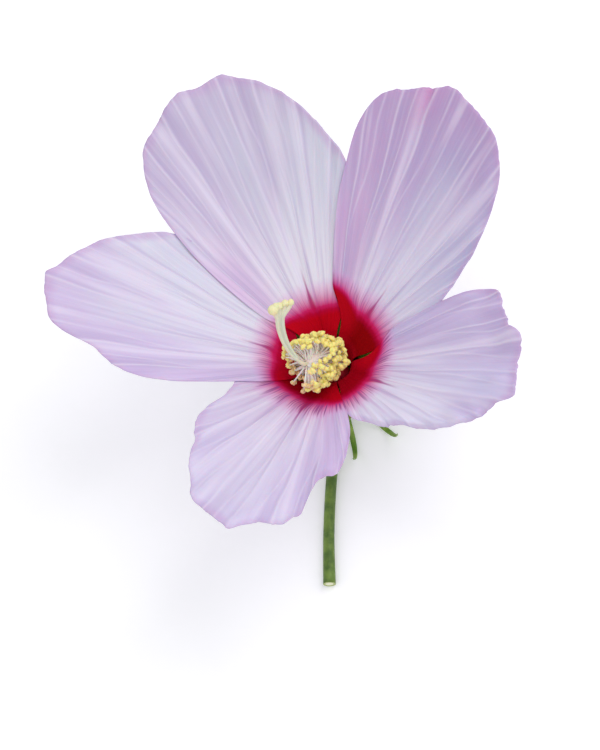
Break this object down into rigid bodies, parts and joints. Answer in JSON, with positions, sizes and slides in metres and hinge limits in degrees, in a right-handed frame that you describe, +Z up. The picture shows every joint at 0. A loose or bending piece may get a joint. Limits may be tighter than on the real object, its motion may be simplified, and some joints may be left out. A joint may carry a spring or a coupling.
{
  "type": "hibiscus flower",
  "caption": "Picked hibiscus (rose mallow) flower: a funnel of pale lilac petals with a crimson eye, a column of cream stamens, a green calyx and a cut stalk.",
  "frame": {"origin": "on the surface that the flower rests on, under the middle of its box", "axes": "+Z up out of the surface and towards the open face of the flower; the cut stalk lies towards -Y; +X to the right, seen with the stalk towards the viewer"},
  "size_m": [0.1368, 0.1316, 0.0709],
  "materials": {
    "petal": "matte",
    "calyx": "satin",
    "bractlet": "satin",
    "stalk": "satin",
    "stamens": "matte",
    "pistil": "satin"
  },
  "bodies": {
    "root": {"petal_back": "petal", "petal_left": "petal", "petal_front_left": "petal", "petal_front_right": "petal", "petal_back_right": "petal", "calyx": "calyx", "bractlet_01": "bractlet", "bractlet_02": "bractlet", "bractlet_03": "bractlet", "bractlet_04": "bractlet", "bractlet_05": "bractlet", "bractlet_06": "bractlet", "bractlet_07": "bractlet", "bractlet_08": "bractlet", "bractlet_09": "bractlet", "bractlet_10": "bractlet", "pedicel": "stalk", "staminal_column": "stamens", "pistil": "pistil"}
  },
  "joints": []
}
